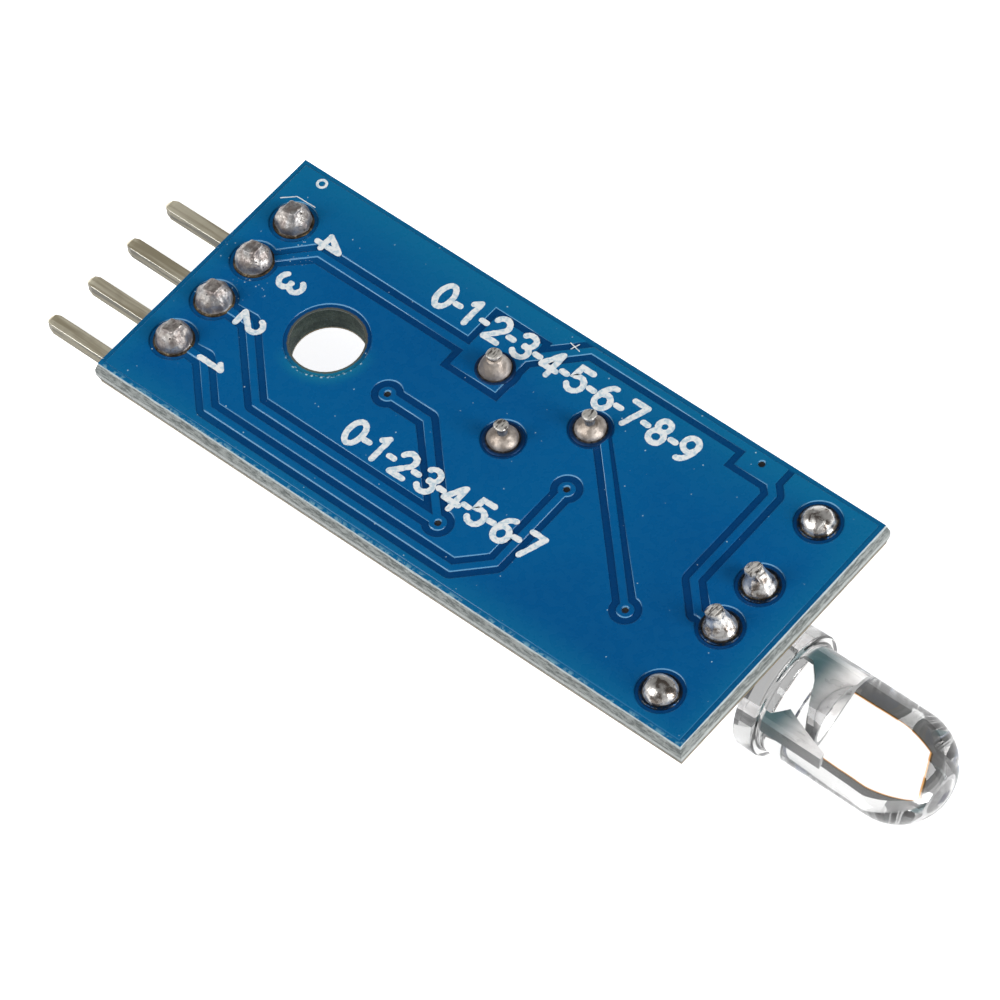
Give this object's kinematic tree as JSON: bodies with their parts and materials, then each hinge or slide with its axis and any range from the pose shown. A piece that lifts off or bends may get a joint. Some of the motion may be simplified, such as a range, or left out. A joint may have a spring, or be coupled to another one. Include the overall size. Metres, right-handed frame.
{
  "type": "light sensor module",
  "caption": "Small blue circuit board with a clear round light sensor at one end, a bent pin header at the other, soldered joints, a mounting hole and a turning trimmer.",
  "frame": {"origin": "axis of the mounting hole on the solder-side face of the board", "axes": "+X along the board towards the clear sensor, +Y towards the far long edge, +Z out of the solder-side face"},
  "size_m": [0.0452, 0.0134, 0.0082],
  "materials": {
    "board_core": "rough sawn glass-fibre laminate",
    "blue_mask": "glossy blue solder mask over copper",
    "pin_metal": "plated brass, drawn",
    "black_plastic": "moulded nylon",
    "dull_solder": "dull pitted solder",
    "bright_solder": "bright solder",
    "blue_plastic": "moulded blue plastic",
    "white_plastic": "moulded white plastic",
    "seal_rubber": "rubber ring",
    "spring_brass": "spring alloy",
    "white_ceramic": "fired ceramic",
    "grey_potting": "cast epoxy",
    "tinned_lead": "tinned wire",
    "black_epoxy": "moulded epoxy",
    "resistor_ceramic": "glazed black with white ends",
    "capacitor_ceramic": "tan ceramic",
    "led_base": "white laminate",
    "led_lens": "clear epoxy, faintly yellow",
    "lead_frame": "silvered steel",
    "silicon": "polished silicon",
    "clear_epoxy": "clear moulded epoxy"
  },
  "bodies": {
    "module": {"circuit_board": "board_core", "solder_side_skin": "blue_mask", "component_side_skin": "blue_mask", "header_pin_1": "pin_metal", "header_pin_2": "pin_metal", "header_pin_3": "pin_metal", "header_pin_4": "pin_metal", "header_strip": "black_plastic", "header_joint_1": "dull_solder", "header_joint_2": "dull_solder", "header_joint_3": "dull_solder", "header_joint_4": "dull_solder", "trimmer_joint_1": "bright_solder", "trimmer_joint_2": "bright_solder", "trimmer_joint_3": "bright_solder", "sensor_joint_1": "bright_solder", "sensor_joint_2": "bright_solder", "filled_pad_1": "bright_solder", "filled_pad_2": "bright_solder", "chip_solder": "bright_solder", "trimmer_housing": "blue_plastic", "trimmer_seal_ring": "seal_rubber", "trimmer_element": "white_ceramic", "trimmer_potting": "grey_potting", "trimmer_lead_1": "tinned_lead", "trimmer_lead_2": "tinned_lead", "trimmer_lead_3": "tinned_lead", "comparator_lead_1": "tinned_lead", "comparator_lead_2": "tinned_lead", "comparator_lead_3": "tinned_lead", "comparator_lead_4": "tinned_lead", "comparator_lead_5": "tinned_lead", "comparator_lead_6": "tinned_lead", "comparator_lead_7": "tinned_lead", "comparator_lead_8": "tinned_lead", "comparator_body": "black_epoxy", "resistor_1": "resistor_ceramic", "resistor_2": "resistor_ceramic", "resistor_3": "resistor_ceramic", "resistor_4": "resistor_ceramic", "resistor_5": "resistor_ceramic", "resistor_6": "resistor_ceramic", "capacitor_1": "capacitor_ceramic", "capacitor_2": "capacitor_ceramic", "power_led_base": "led_base", "signal_led_base": "led_base", "power_led_lens": "led_lens", "signal_led_lens": "led_lens", "sensor_anvil_lead": "lead_frame", "sensor_post_lead": "lead_frame", "sensor_die": "silicon", "sensor_lens": "clear_epoxy"},
    "rotor": {"trimmer_rotor": "white_plastic", "trimmer_wiper": "spring_brass"}
  },
  "joints": [
    {"name": "trimmer_turn", "type": "hinge", "parent": "module", "child": "rotor", "pos_m": [0.00905, 0.00182, -0.00623], "axis": [0, 0, -1], "range_deg": [-130, 130]}
  ]
}
